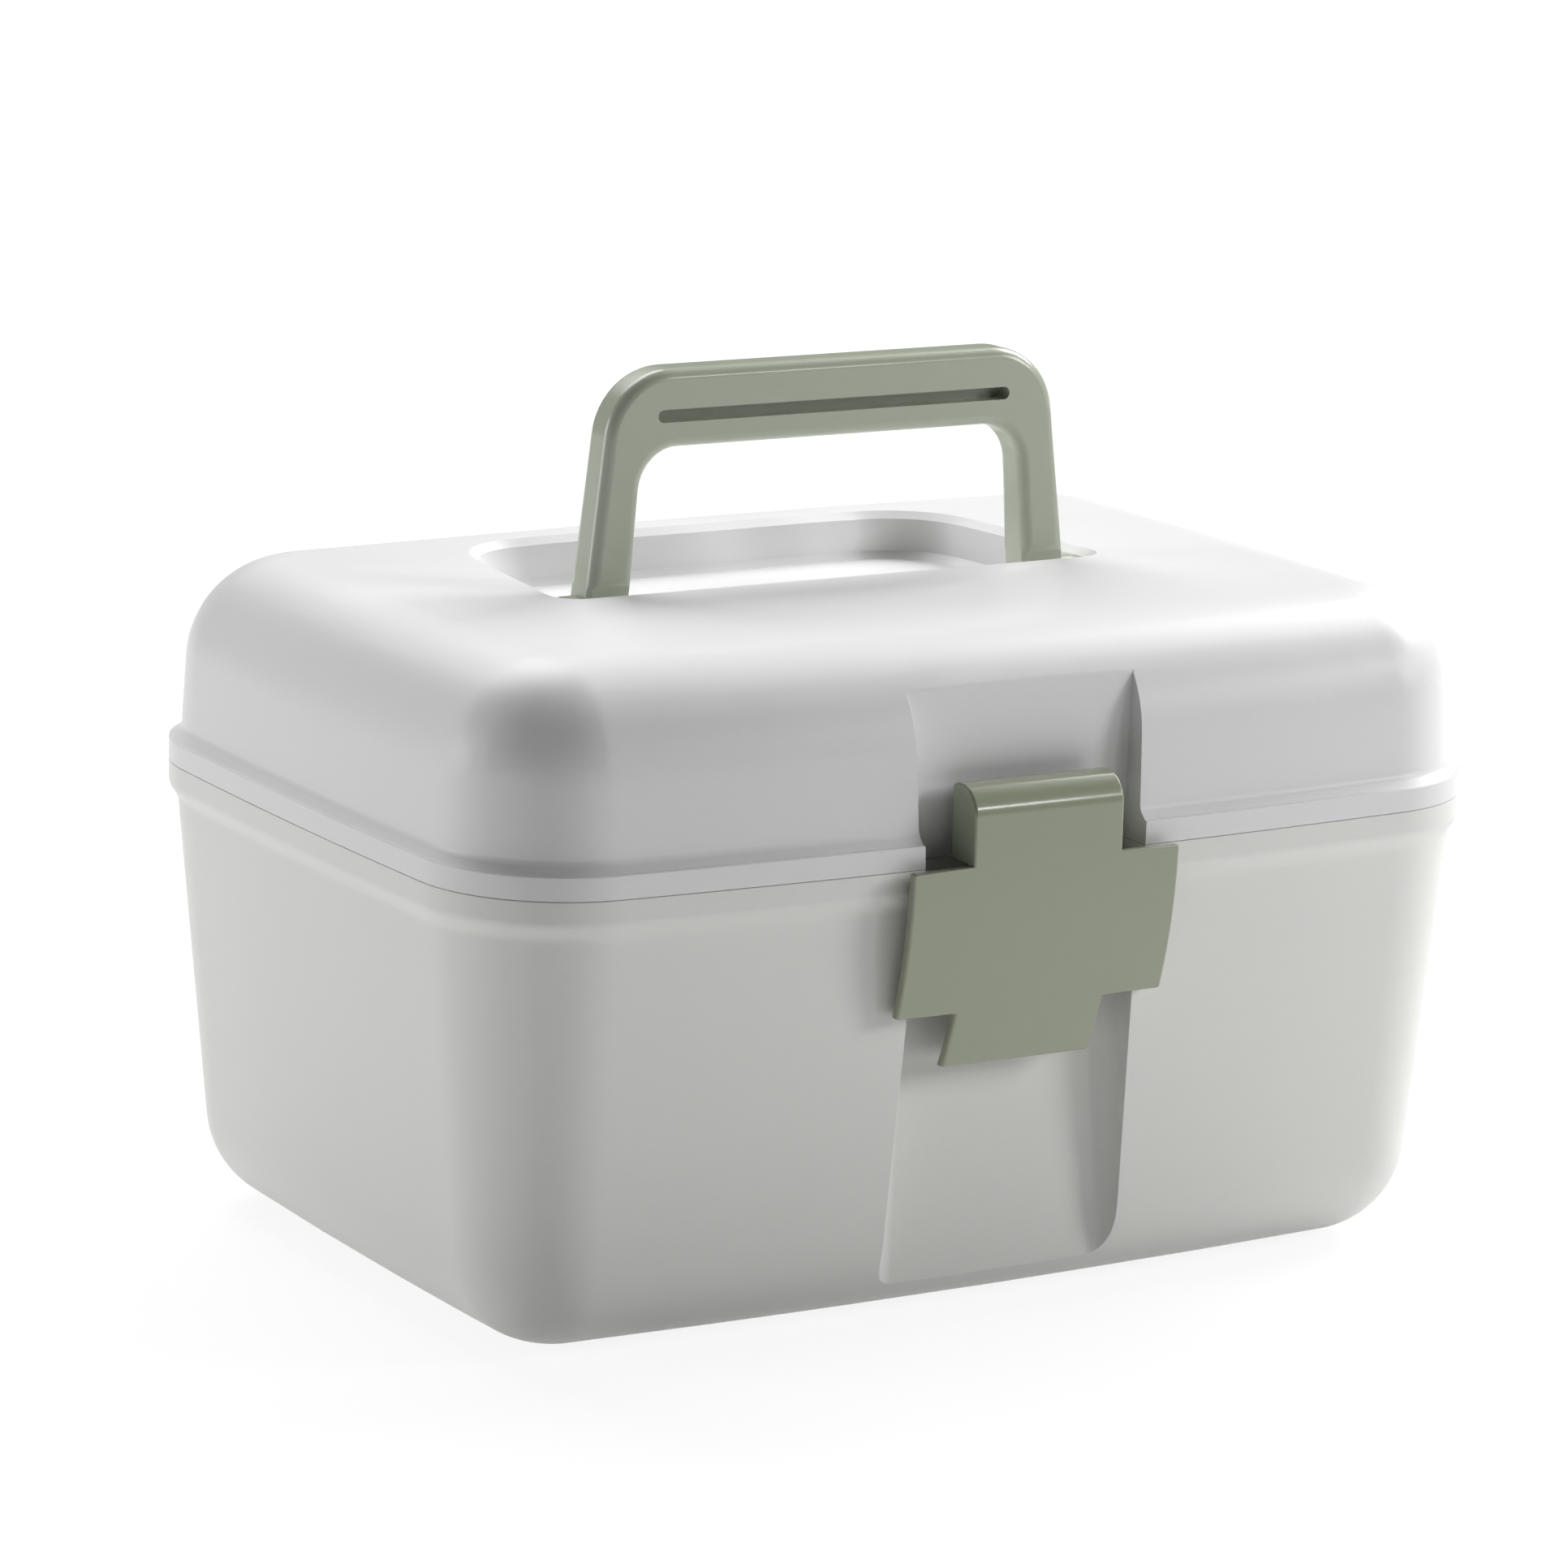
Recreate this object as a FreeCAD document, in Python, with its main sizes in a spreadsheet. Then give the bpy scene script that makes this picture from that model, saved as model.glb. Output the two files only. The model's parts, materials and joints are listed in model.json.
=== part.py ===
import FreeCAD, Part
import math
import os

import Sketcher
from FreeCAD import Placement, Rotation, Vector

# A household medicine case: a drafted box and a domed lid on a rear hinge, a carrying handle that
# folds back into a well in the lid, a cross-shaped latch at the front and a lift-out tray.
# Millimetres. The origin is the middle of the standing face, +X runs along the front from left to
# right, +Y points to the hinge side and +Z is up.

# Driving sizes: name, value, what it measures
SIZES = (
    ("case_width", 255.0, "outside width over the rims"),
    ("case_depth", 183.4, "outside depth over the rims, front to rear"),
    ("corner_radius", 32.0, "plan corner radius of the rims"),
    ("front_bow", 5.4, "how far the front and rear bow outwards"),
    ("side_bow", 2.4, "how far the two sides bow outwards"),
    ("wall", 2.2, "moulded wall thickness"),
    ("base_height", 101.3, "height of the parting line"),
    ("lid_height", 45.1, "parting line to the top of the lid"),
    ("seam_gap", 0.15, "open joint between the rims"),
    ("base_rim_height", 5.3, "rim of the base, below the parting line"),
    ("base_rim_bevel", 3.0, "bevel under the base rim"),
    ("base_rim_step", 2.0, "how far the base rim stands out of its wall"),
    ("base_draft", 5.2, "draft of the base walls, degrees"),
    ("foot_fillet", 22.0, "rounding from the base walls to the bottom"),
    ("inner_bevel", 0.66, "bevel inside the shells, as a share of the rounding outside"),
    ("floor_thickness", 2.4, "bottom of the base"),
    ("lid_rim_height", 5.1, "rim of the lid, above the parting line"),
    ("lid_rim_step", 2.6, "how far the lid rim stands out of its wall"),
    ("lid_flare", 2.0, "hollow bevel between the lid rim and its wall"),
    ("lid_draft", 3.4, "draft of the lid walls, degrees"),
    ("dome_fillet", 23.6, "rounding from the lid walls to the top"),
    ("lip_height", 3.8, "locating lip of the lid, below the parting line"),
    ("lip_thickness", 1.5, "locating lip thickness"),
    ("lip_root", 3.2, "how far the lip runs up inside the lid wall"),
    ("lip_clearance", 0.4, "lip to base wall"),
    ("latch_recess_width", 54.2, "front recess at the parting line"),
    ("latch_recess_draft", 1.5, "widening of the recess away from the parting line, degrees"),
    ("lid_panel_depth", 8.7, "front recess of the lid, back from the rim face"),
    ("base_panel_depth", 13.7, "front recess of the base, back from the rim face"),
    ("panel_corner_fillet", 5.0, "inner upright corners of the base recess"),
    ("latch_width", 36.6, "upright bar of the latch cross"),
    ("latch_span", 65.4, "arms of the latch cross, tip to tip"),
    ("latch_plate", 2.25, "latch plate thickness"),
    ("latch_barrel_radius", 6.5, "rolled top of the latch, outside"),
    ("latch_barrel_gap", 0.4, "rolled top to the lid recess"),
    ("latch_pivot_rise", 10.7, "parting line to the latch pivot"),
    ("latch_arm_rise", 0.6, "parting line to the upper edge of the arms"),
    ("latch_arm_drop", 31.8, "parting line down to the lower edge of the arms"),
    ("latch_foot_drop", 44.8, "parting line down to the lower end of the latch"),
    ("latch_curve_rise", 4.7, "parting line to where the plate begins to curve inwards"),
    ("latch_curve_radius", 122.0, "inward curve of the plate, outside"),
    ("latch_cheek", 2.2, "side cheeks of the latch"),
    ("latch_cheek_depth", 9.6, "how far the cheeks reach back"),
    ("latch_pin_diameter", 3.0, "latch pin"),
    ("latch_pin_cover", 0.7, "skin of the cheeks over the pin ends"),
    ("latch_pin_end_gap", 0.1, "pin ends to that skin"),
    ("lug_radius", 3.7, "pivot lugs of the lid, round the latch pin"),
    ("lug_thickness", 4.0, "pivot lug thickness"),
    ("lug_spacing", 18.0, "between the middles of the two lugs"),
    ("pin_running_gap", 0.08, "radial play where a part turns on a pin"),
    ("pin_seat_gap", 0.02, "radial play where a pin is held"),
    ("hook_width", 24.0, "hook rib of the latch, side to side"),
    ("hook_thickness", 2.4, "hook rib of the latch, up and down"),
    ("hook_drop", 1.2, "hook rib under the rim band of the base"),
    ("hook_clearance", 0.4, "hook rib in front of the rim band"),
    ("handle_thickness", 9.6, "handle, front to rear"),
    ("handle_rise", 47.4, "lid top to the top of the raised handle"),
    ("handle_grip_height", 17.1, "grip bar, top to underside"),
    ("handle_foot_width", 120.6, "handle over its legs at the lid"),
    ("handle_leg_width", 10.5, "leg at the lid"),
    ("handle_outer_lean", 6.7, "lean of the outer leg faces, degrees"),
    ("handle_inner_lean", 4.9, "lean of the inner leg faces, degrees"),
    ("handle_outer_round", 16.0, "outer corners of the handle"),
    ("handle_inner_round", 9.5, "inner corners of the handle"),
    ("handle_edge_bevel", 1.5, "bevel along the handle edges"),
    ("handle_slot_length", 88.6, "groove along both faces of the grip"),
    ("handle_slot_height", 2.8, "groove of the grip, up and down"),
    ("handle_slot_depth", 4.2, "how deep each groove of the grip is"),
    ("handle_slot_drop", 10.1, "top of the grip to the middle of the groove"),
    ("handle_stub_diameter", 5.0, "pivot stubs of the handle"),
    ("handle_boss_diameter", 8.0, "shoulder round each stub"),
    ("handle_pivot_drop", 5.1, "lid top to the handle pivot"),
    ("handle_pivot_offset", -1.0, "handle pivot from the middle of the case, to the rear"),
    ("well_depth", 10.2, "handle well in the lid top"),
    ("well_side_gap", 6.2, "handle side to the well edge, at the lid top"),
    ("well_front_gap", 2.7, "raised handle to the front edge of the well"),
    ("well_rear_gap", 5.4, "folded handle to the rear edge of the well"),
    ("well_draft", 12.0, "draft of the well walls, degrees"),
    ("well_corner_round", 19.0, "rear corners of the well"),
    ("well_front_round", 5.0, "front corners of the well"),
    ("well_floor_bevel", 1.6, "bevel at the floor of the well"),
    ("well_brim_bevel", 1.6, "bevel at the top edge of the well"),
    ("hinge_knuckle_radius", 4.2, "hinge knuckles"),
    ("hinge_pin_diameter", 3.0, "hinge pins"),
    ("hinge_spacing", 120.0, "between the middles of the two hinges"),
    ("hinge_length", 34.0, "each hinge, end to end"),
    ("hinge_middle_length", 12.0, "lid knuckle"),
    ("hinge_side_gap", 0.4, "between neighbouring knuckles"),
    ("hinge_clearance", 0.5, "knuckles to the rim behind them"),
    ("tray_side_gap", 15.1, "tray body to the outside of the rim, each side"),
    ("tray_front_gap", 23.2, "tray body to the front of the rim"),
    ("tray_rear_gap", 17.7, "tray body to the rear of the rim"),
    ("tray_height", 36.0, "tray body with its rim"),
    ("tray_drop", 5.3, "parting line down to the tray rim"),
    ("tray_draft", 1.0, "draft of the tray walls, degrees"),
    ("tray_wall", 2.0, "tray walls and partitions"),
    ("tray_floor", 1.8, "tray floor"),
    ("tray_foot_bevel", 1.4, "bevel round the bottom of the tray"),
    ("tray_cell_round", 8.0, "upright corners of the compartments"),
    ("tray_rim_width", 3.5, "how far the tray rim stands out"),
    ("tray_rim_corner", 20.1, "corners of the tray rim"),
    ("tray_rim_thickness", 1.8, "tray rim"),
    ("tray_seat_gap", 0.3, "tray rim over its supports"),
    ("tray_grip_length", 90.0, "raised grip web of the tray"),
    ("tray_grip_height", 11.0, "how far the grip web stands above the rim"),
    ("tray_grip_thickness", 2.4, "grip web"),
    ("tray_grip_bar", 3.5, "bar of the grip web over its slot"),
    ("tray_grip_slot_length", 66.0, "finger slot of the grip web"),
    ("tray_grip_slot_height", 15.0, "finger slot of the grip web, up and down"),
    ("support_reach", 9.8, "tray supports, in from the base wall"),
    ("support_drop", 26.0, "tray supports, top to bottom"),
    ("support_thickness", 2.4, "tray supports"),
    ("support_spacing", 80.0, "between the supports of one side"),
)

doc = FreeCAD.newDocument("medicine_case")
sheet = doc.addObject("Spreadsheet::Sheet", "sizes")
for row, (alias, value, note) in enumerate(SIZES, 1):
    sheet.set(f"A{row}", note)
    sheet.set(f"B{row}", str(value))
    sheet.setAlias(f"B{row}", alias)
doc.recompute()


def size(formula):
    """The present value of a formula of the sheet's names."""
    return float(sheet.evalExpression(formula))


def bind(target, prop, formula):
    """Ties one property to a formula of the sheet's names."""
    target.setExpression(prop, formula)


# Formulas that several pieces share
HALF_WIDTH = "sizes.case_width / 2"
HALF_DEPTH = "sizes.case_depth / 2"
BASE_TOP = "(sizes.base_height - sizes.seam_gap / 2)"
LID_BOTTOM = "(sizes.base_height + sizes.seam_gap / 2)"
LID_TOP = "(sizes.base_height + sizes.lid_height)"
BASE_RIM_BOTTOM = "(sizes.base_height - sizes.base_rim_height)"
BASE_NECK = f"({BASE_RIM_BOTTOM} - sizes.base_rim_bevel)"
LID_RIM_TOP = "(sizes.base_height + sizes.lid_rim_height)"
BASE_DRAFT = "(sizes.base_draft * 1 deg)"
LID_DRAFT = "(sizes.lid_draft * 1 deg)"
BASE_SLOPE = f"tan({BASE_DRAFT})"
LID_SLOPE = f"tan({LID_DRAFT})"
BASE_INNER = f"(sizes.base_rim_step + sizes.wall - ({BASE_TOP} - {BASE_NECK}) * {BASE_SLOPE})"
LID_INNER = f"(sizes.lid_rim_step + sizes.wall - ({LID_RIM_TOP} - {LID_BOTTOM}) * {LID_SLOPE})"
LIP_BOTTOM = "(sizes.base_height - sizes.lip_height)"
RECESS_CEILING = f"({LIP_BOTTOM} - sizes.lip_clearance - sizes.wall)"
LIP_OUTER = f"({BASE_INNER} + ({BASE_TOP} - {LIP_BOTTOM}) * {BASE_SLOPE} + sizes.lip_clearance)"
LID_PANEL = f"({HALF_DEPTH} - sizes.lid_panel_depth)"
BASE_PANEL = f"({HALF_DEPTH} - sizes.base_panel_depth)"
LATCH_PIVOT_Z = "(sizes.base_height + sizes.latch_pivot_rise)"
LATCH_CURVE_TOP = "(sizes.base_height + sizes.latch_curve_rise)"
LATCH_PIVOT_Y = f"({LID_PANEL} + sizes.latch_barrel_gap + sizes.latch_barrel_radius)"
LATCH_FACE = f"({LATCH_PIVOT_Y} + sizes.latch_barrel_radius)"
HANDLE_PIVOT_Z = f"({LID_TOP} - sizes.handle_pivot_drop)"
HANDLE_TOP = f"({LID_TOP} + sizes.handle_rise)"
HANDLE_FRONT = "(sizes.handle_pivot_offset - sizes.handle_thickness / 2)"
OUTER_SLOPE = "tan(sizes.handle_outer_lean * 1 deg)"
INNER_SLOPE = "tan(sizes.handle_inner_lean * 1 deg)"
HANDLE_REACH = f"(sizes.handle_pivot_offset + {HANDLE_TOP} - {HANDLE_PIVOT_Z})"
WELL_HALF = "(sizes.handle_foot_width / 2 + sizes.handle_pivot_drop * tan(sizes.handle_outer_lean * 1 deg)"
WELL_HALF += " + sizes.handle_pivot_offset * tan(sizes.handle_outer_lean * 1 deg) + sizes.well_side_gap)"
WELL_DRAFT = "(sizes.well_draft * 1 deg)"
LIP_ROOT = f"({LID_BOTTOM} + sizes.lip_root)"
WELL_AT_PIVOT = f"({WELL_HALF} - sizes.handle_pivot_offset * {OUTER_SLOPE})"
BOSS_END = f"({WELL_AT_PIVOT} - (sizes.handle_pivot_drop + sizes.handle_boss_diameter / 2) * tan({WELL_DRAFT})"
BOSS_END += f" - sizes.handle_boss_diameter / 2 * {OUTER_SLOPE} - sizes.seam_gap)"
STUB_END = f"({WELL_AT_PIVOT} - sizes.handle_pivot_drop * tan({WELL_DRAFT}) + sizes.wall)"
TRAY_TOP = "(sizes.base_height - sizes.tray_drop)"
TRAY_RIM_BOTTOM = f"({TRAY_TOP} - sizes.tray_rim_thickness)"
TRAY_MIDDLE = "((sizes.tray_front_gap - sizes.tray_rear_gap) / 2)"
TRAY_HALF_X = f"({HALF_WIDTH} - sizes.tray_side_gap)"
TRAY_HALF_Y = f"({HALF_DEPTH} - (sizes.tray_front_gap + sizes.tray_rear_gap) / 2)"
HINGE_Y = f"({HALF_DEPTH} + sizes.hinge_clearance + sizes.hinge_knuckle_radius)"


def new_body(name):
    return doc.addObject("PartDesign::Body", name)


def plane(body, role):
    """One of a body's own origin planes."""
    return next(f for f in body.Origin.OriginFeatures if f.Role == role)


def new_sketch(body, name, role, offset):
    """A sketch on an origin plane, moved along the plane's normal by a formula."""
    sketch = body.newObject("Sketcher::SketchObject", name)
    sketch.AttachmentSupport = [(plane(body, role), "")]
    sketch.MapMode = "FlatFace"
    sketch.AttachmentOffset = Placement(Vector(0, 0, size(offset)), Rotation())
    bind(sketch, "AttachmentOffset.Base.z", offset)
    return sketch


def fix(sketch, kind, formula, *where):
    """A dimension of a sketch that follows a formula."""
    index = sketch.addConstraint(Sketcher.Constraint(kind, *where, size(formula)))
    bind(sketch, f"Constraints[{index}]", formula)


def place_point(sketch, geometry, point, across, up):
    """Ties a point of a sketch to two formulas, measured from the sketch's origin."""
    fix(sketch, "DistanceX", across, -1, 1, geometry, point)
    fix(sketch, "DistanceY", up, -1, 1, geometry, point)


def polygon(sketch, corners, radii=None):
    """A closed outline through corners given by formulas.

    radii turns sides into arcs: their radius, and 1 or -1 to bulge right or left of their direction.
    """
    radii = radii or {}
    points = [Vector(size(a), size(b), 0) for a, b in corners]
    count = len(points)
    sides = []
    for i, start in enumerate(points):
        end = points[(i + 1) % count]
        if i in radii:
            chord = end - start
            radius = size(radii[i][0])
            sag = radius - math.sqrt(radius**2 - (chord.Length / 2) ** 2)
            outward = Vector(chord.y, -chord.x, 0).normalize() * radii[i][1]
            sides.append(Part.Arc(start, (start + end) * 0.5 + outward * sag, end))
        else:
            sides.append(Part.LineSegment(start, end))
    ids = sketch.addGeometry(sides, False)
    # an arc is always stored anticlockwise, so its first point may be the side's last
    flipped = [sketch.getPoint(k, 1).distanceToPoint(p) > 1e-4 for k, p in zip(ids, points)]
    ends = [(2, 1) if flip else (1, 2) for flip in flipped]
    for i in range(count):
        after = (i + 1) % count
        link = (ids[i], ends[i][1], ids[after], ends[after][0])
        sketch.addConstraint(Sketcher.Constraint("Coincident", *link))
    for i, (across, up) in enumerate(corners):
        place_point(sketch, ids[i], ends[i][0], across, up)
    for i, (formula, side) in radii.items():
        fix(sketch, "Radius", formula, ids[i])


def rectangle(sketch, half_x, half_y, middle_y):
    """A rectangle centred on the sketch's upright axis."""
    low, high = f"{middle_y} - {half_y}", f"{middle_y} + {half_y}"
    left = f"-1 * {half_x}"
    polygon(sketch, [(left, low), (half_x, low), (half_x, high), (left, high)])


def circle(sketch, across, up, diameter):
    centre = Vector(size(across), size(up), 0)
    index = sketch.addGeometry(Part.Circle(centre, Vector(0, 0, 1), size(diameter) / 2), False)
    place_point(sketch, index, 3, across, up)
    fix(sketch, "Diameter", diameter, index)


def bowed_outline(body, name, height, inset, corner):
    """A rounded rectangle with bowed sides, an inward offset of the case's plan outline.

    Each side is a long arc about a centre on an axis, and each corner arc is tangent to two sides.
    """
    sketch = new_sketch(body, name, "XY_Plane", height)
    half_x = f"({HALF_WIDTH} - {inset})"
    half_y = f"({HALF_DEPTH} - {inset})"
    long_radius = f"(({HALF_WIDTH})^2 / (2 * sizes.front_bow) - {inset})"
    short_radius = f"(({HALF_DEPTH})^2 / (2 * sizes.side_bow) - {inset})"
    hx, hy, rl, rs, rc = (size(v) for v in (half_x, half_y, long_radius, short_radius, corner))
    # the corner arc's centre lies where two circles about the side centres cross
    y_centre, x_centre = hy - rl, hx - rs
    reach_y, reach_x = rl - rc, rs - rc
    apart = math.hypot(x_centre, y_centre)
    along = (reach_y**2 - reach_x**2 + apart**2) / (2 * apart)
    across = math.sqrt(reach_y**2 - along**2)
    ux, uy = x_centre / apart, -y_centre / apart
    cx = along * ux + across * -uy
    cy = y_centre + along * uy + across * ux
    if cx < 0:
        cx = along * ux + across * uy
        cy = y_centre + along * uy - across * ux
    high = math.atan2(cy - y_centre, cx)
    low = math.atan2(cy, cx - x_centre)
    up, turn = Vector(0, 0, 1), math.pi

    def arc(x, y, radius, start, end):
        return Part.ArcOfCircle(Part.Circle(Vector(x, y, 0), up, radius), start, end)

    ids = sketch.addGeometry(
        [
            arc(0, y_centre, rl, high, turn - high),
            arc(-cx, cy, rc, turn - high, turn - low),
            arc(-x_centre, 0, rs, turn - low, turn + low),
            arc(-cx, -cy, rc, turn + low, turn + high),
            arc(0, -y_centre, rl, turn + high, 2 * turn - high),
            arc(cx, -cy, rc, 2 * turn - high, 2 * turn - low),
            arc(x_centre, 0, rs, -low, low),
            arc(cx, cy, rc, low, high),
        ],
        False,
    )
    rear, rear_left, left, front_left, front, front_right, right, rear_right = ids
    make = Sketcher.Constraint
    rules = [make("Tangent", ids[i], 2, ids[(i + 1) % 8], 1) for i in range(8)]
    rules += [make("PointOnObject", side, 3, -2) for side in (rear, front)]
    rules += [make("PointOnObject", side, 3, -1) for side in (left, right)]
    rules += [make("Equal", rear_left, other) for other in (front_left, front_right, rear_right)]
    rules += [make("Equal", rear, front), make("Equal", left, right)]
    sketch.addConstraint(rules)
    fix(sketch, "Radius", long_radius, rear)
    fix(sketch, "Radius", short_radius, left)
    fix(sketch, "Radius", corner, rear_left)
    fix(sketch, "DistanceY", f"{long_radius} - {half_y}", rear, 3, -1, 1)
    fix(sketch, "DistanceY", f"{long_radius} - {half_y}", -1, 1, front, 3)
    fix(sketch, "DistanceX", f"{short_radius} - {half_x}", right, 3, -1, 1)
    fix(sketch, "DistanceX", f"{short_radius} - {half_x}", -1, 1, left, 3)
    return sketch


def pad(body, name, sketch, length, reverse=False, middle=False, taper=None):
    """A pad of a sketch; taper is a formula of how many degrees its sides close in."""
    feature = body.newObject("PartDesign::Pad", name)
    feature.Profile = sketch
    bind(feature, "Length", length)
    feature.Length = size(length)
    feature.Reversed = reverse
    feature.Midplane = middle
    if taper:
        bind(feature, "TaperAngle", f"-1 * {taper}")
    doc.recompute()
    return feature


def pocket(body, name, sketch, length, reverse=False, middle=False, taper=None):
    """A pocket, with a check that it removes material."""
    before = body.Tip.Shape.Volume
    feature = body.newObject("PartDesign::Pocket", name)
    feature.Profile = sketch
    bind(feature, "Length", length)
    feature.Length = size(length)
    feature.Reversed = reverse
    feature.Midplane = middle
    if taper:
        bind(feature, "TaperAngle", f"-1 * {taper}")
    doc.recompute()
    if feature.Shape.Volume > before - 1e-3:
        raise RuntimeError(f"{name} removes nothing")
    return feature


FILLET = "PartDesign::Fillet"
CHAMFER = "PartDesign::Chamfer"


def round_edges(body, name, radius, test, kind=FILLET):
    """Fillets or chamfers the edges of a body's last feature that pass a test."""
    base = body.Tip
    chosen = [f"Edge{i}" for i, edge in enumerate(base.Shape.Edges, 1) if test(edge)]
    if not chosen:
        raise RuntimeError(f"{name} finds no edge")
    feature = body.newObject(kind, name)
    feature.Base = (base, chosen)
    bind(feature, "Size" if kind == CHAMFER else "Radius", radius)
    doc.recompute()
    return feature


def at_height(edge, height, slack=0.01):
    """True for an edge that lies level at a height."""
    box = edge.BoundBox
    return abs(box.ZMin - height) < slack and abs(box.ZMax - height) < slack


def newer_than(old, test):
    """A test for edges that pass another test and weren't among a list of older ones."""
    known = [edge.CenterOfMass for edge in old]

    def fresh(edge):
        return test(edge) and all(edge.CenterOfMass.distanceToPoint(p) > 0.1 for p in known)

    return fresh


def rod(name, x_formula, y_formula, z_formula, diameter, length):
    """A round body along X, centred on a point given by formulas."""
    body = new_body(name)
    sketch = new_sketch(body, f"{name}_section", "YZ_Plane", x_formula)
    circle(sketch, y_formula, z_formula, diameter)
    pad(body, f"{name}_length", sketch, length, middle=True)
    return body


def recess_section(body, name, low, high, face, margin):
    """The front recess seen from the front, widening away from the parting line."""
    sketch = new_sketch(body, name, "XZ_Plane", face)

    def half(level):
        lean = "tan(sizes.latch_recess_draft * 1 deg)"
        return f"(sizes.latch_recess_width / 2 + abs({level} - sizes.base_height) * {lean} + {margin})"

    polygon(
        sketch,
        [
            (f"-1 * {half(low)}", low),
            (half(low), low),
            (half(high), high),
            (f"-1 * {half(high)}", high),
        ],
    )
    return sketch


def base_outside():
    """The outer form of the base: drafted box, bevelled rim and front recess."""
    body = new_body("base_outside")
    step = "sizes.base_rim_step"
    wall = bowed_outline(body, "wall_outline", BASE_NECK, step, f"(sizes.corner_radius - {step})")
    pad(body, "wall_block", wall, BASE_NECK, reverse=True, taper=BASE_DRAFT)
    round_edges(body, "foot", "sizes.foot_fillet", lambda e: at_height(e, 0))
    rim = bowed_outline(body, "rim_outline", BASE_RIM_BOTTOM, "0", "sizes.corner_radius")
    bevel = "atan(sizes.base_rim_step / sizes.base_rim_bevel)"
    pad(body, "rim_bevel", rim, "sizes.base_rim_bevel", reverse=True, taper=bevel)
    band = bowed_outline(body, "band_outline", BASE_RIM_BOTTOM, "0", "sizes.corner_radius")
    pad(body, "rim_band", band, f"{BASE_TOP} - {BASE_RIM_BOTTOM}")
    deep = recess_section(body, "deep_section", "-1", RECESS_CEILING, BASE_PANEL, "0")
    pocket(body, "deep_recess", deep, "sizes.base_panel_depth + 5", reverse=True)
    high = f"{BASE_TOP} + 1"
    shallow = recess_section(body, "band_section", RECESS_CEILING, high, LID_PANEL, "0")
    pocket(body, "band_recess", shallow, "sizes.lid_panel_depth + 5", reverse=True)
    panel = size(BASE_PANEL)

    def inner_corner(edge):
        box = edge.BoundBox
        return box.ZLength > 60 and abs(box.YMin + panel) < 0.01 and abs(box.YMax + panel) < 0.01

    round_edges(body, "recess_corners", "sizes.panel_corner_fillet", inner_corner)
    return body


def base_inside():
    """The hollow of the base, kept one wall away from the front recess."""
    body = new_body("base_inside")
    corner = f"(sizes.corner_radius - {BASE_INNER})"
    outline = bowed_outline(body, "hollow_outline", BASE_TOP, BASE_INNER, corner)
    length = f"{BASE_TOP} - sizes.floor_thickness"
    pad(body, "hollow_block", outline, length, reverse=True, taper=BASE_DRAFT)
    floor = size("sizes.floor_thickness")
    bevel = "(sizes.foot_fillet - sizes.wall) * sizes.inner_bevel"
    round_edges(body, "hollow_foot", bevel, lambda e: at_height(e, floor), CHAMFER)
    low_face = f"{BASE_PANEL} - sizes.wall"
    shelf = f"({RECESS_CEILING} + sizes.wall)"
    low = recess_section(body, "deep_section", "-1", shelf, low_face, "sizes.wall")
    pocket(body, "deep_wall", low, "sizes.base_panel_depth + 5", reverse=True)
    high = f"{BASE_TOP} + 1"
    band = recess_section(body, "band_section", shelf, high, f"{LID_PANEL} - sizes.wall", "sizes.wall")
    pocket(body, "band_wall", band, "sizes.lid_panel_depth + 5", reverse=True)
    return body


def lid_outside():
    """The outer form of the lid: rim, flared foot of the wall, dome, front recess and handle well."""
    body = new_body("lid_outside")
    step = "sizes.lid_rim_step"
    rim = bowed_outline(body, "rim_outline", LID_BOTTOM, "0", "sizes.corner_radius")
    pad(body, "rim_band", rim, f"{LID_RIM_TOP} - {LID_BOTTOM}")
    rim_edges = body.Tip.Shape.Edges
    corner = f"(sizes.corner_radius - {step})"
    wall = bowed_outline(body, "wall_outline", LID_RIM_TOP, step, corner)
    pad(body, "wall_block", wall, f"{LID_TOP} - {LID_RIM_TOP}", taper=LID_DRAFT)
    top = size(LID_TOP)
    round_edges(body, "dome", "sizes.dome_fillet", lambda e: at_height(e, top))

    high = size(LID_RIM_TOP)
    foot = newer_than(rim_edges, lambda e: at_height(e, high))
    round_edges(body, "flare", "sizes.lid_flare", foot, CHAMFER)
    face = recess_section(body, "panel_section", "sizes.base_height - 1", f"{LID_TOP} + 1", LID_PANEL, "0")
    pocket(body, "panel_recess", face, "sizes.lid_panel_depth + 5", reverse=True)
    handle_well(body, "well", "0")
    return body


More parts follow.
